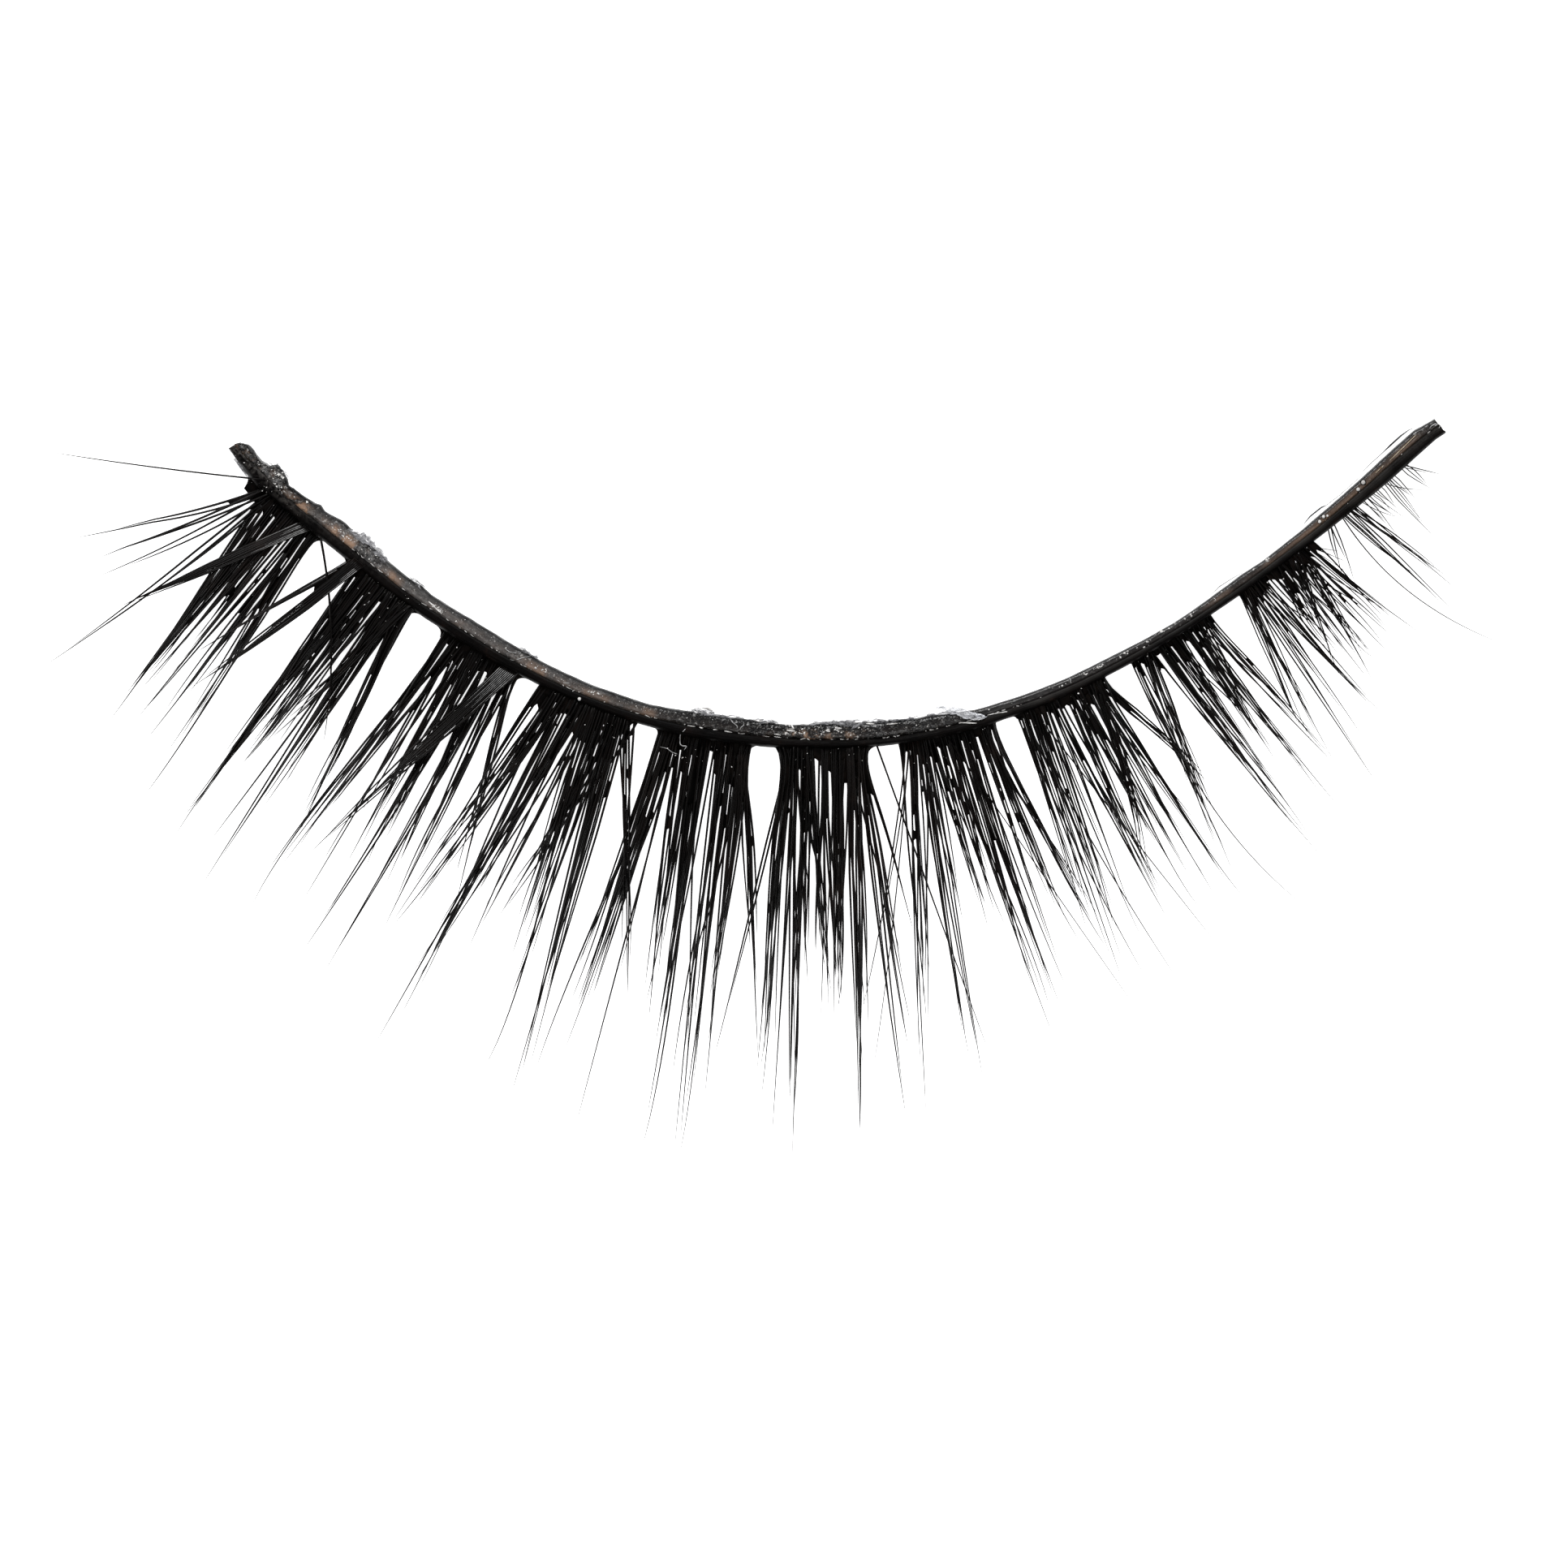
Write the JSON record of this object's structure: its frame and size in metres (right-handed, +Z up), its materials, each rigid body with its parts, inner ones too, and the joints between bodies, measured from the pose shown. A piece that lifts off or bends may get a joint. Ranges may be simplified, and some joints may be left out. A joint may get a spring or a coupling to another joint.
{
  "type": "false eyelash strip",
  "caption": "Curved strip of false eyelashes: thin flexible band with a black root bead, from which clusters of long hairs fan out and curl up to fine tips.",
  "frame": {"origin": "on the underside, at the middle of the band's centre line", "axes": "+X along the band towards the inner corner, +Y towards the eyelid side, +Z up, the way the lashes curl"},
  "size_m": [0.0348, 0.0174, 0.0048],
  "materials": {
    "band_strip": "satin grey-brown strip under dried clear glue, patchy and lightly ribbed",
    "root_bead": "glossy black glue coat with small bubbles and specks",
    "lash_hair": "black synthetic hair with a soft satin sheen, brown-black where it thins"
  },
  "bodies": {
    "root": {"band_strip": "band_strip", "root_bead": "root_bead", "lash_cluster_01": "lash_hair", "lash_cluster_02": "lash_hair", "lash_cluster_03": "lash_hair", "lash_cluster_04": "lash_hair", "lash_cluster_05": "lash_hair", "lash_cluster_06": "lash_hair", "lash_cluster_07": "lash_hair", "lash_cluster_08": "lash_hair", "lash_cluster_09": "lash_hair", "lash_cluster_10": "lash_hair", "lash_cluster_11": "lash_hair", "lash_cluster_12": "lash_hair", "lash_cluster_13": "lash_hair"}
  },
  "joints": []
}
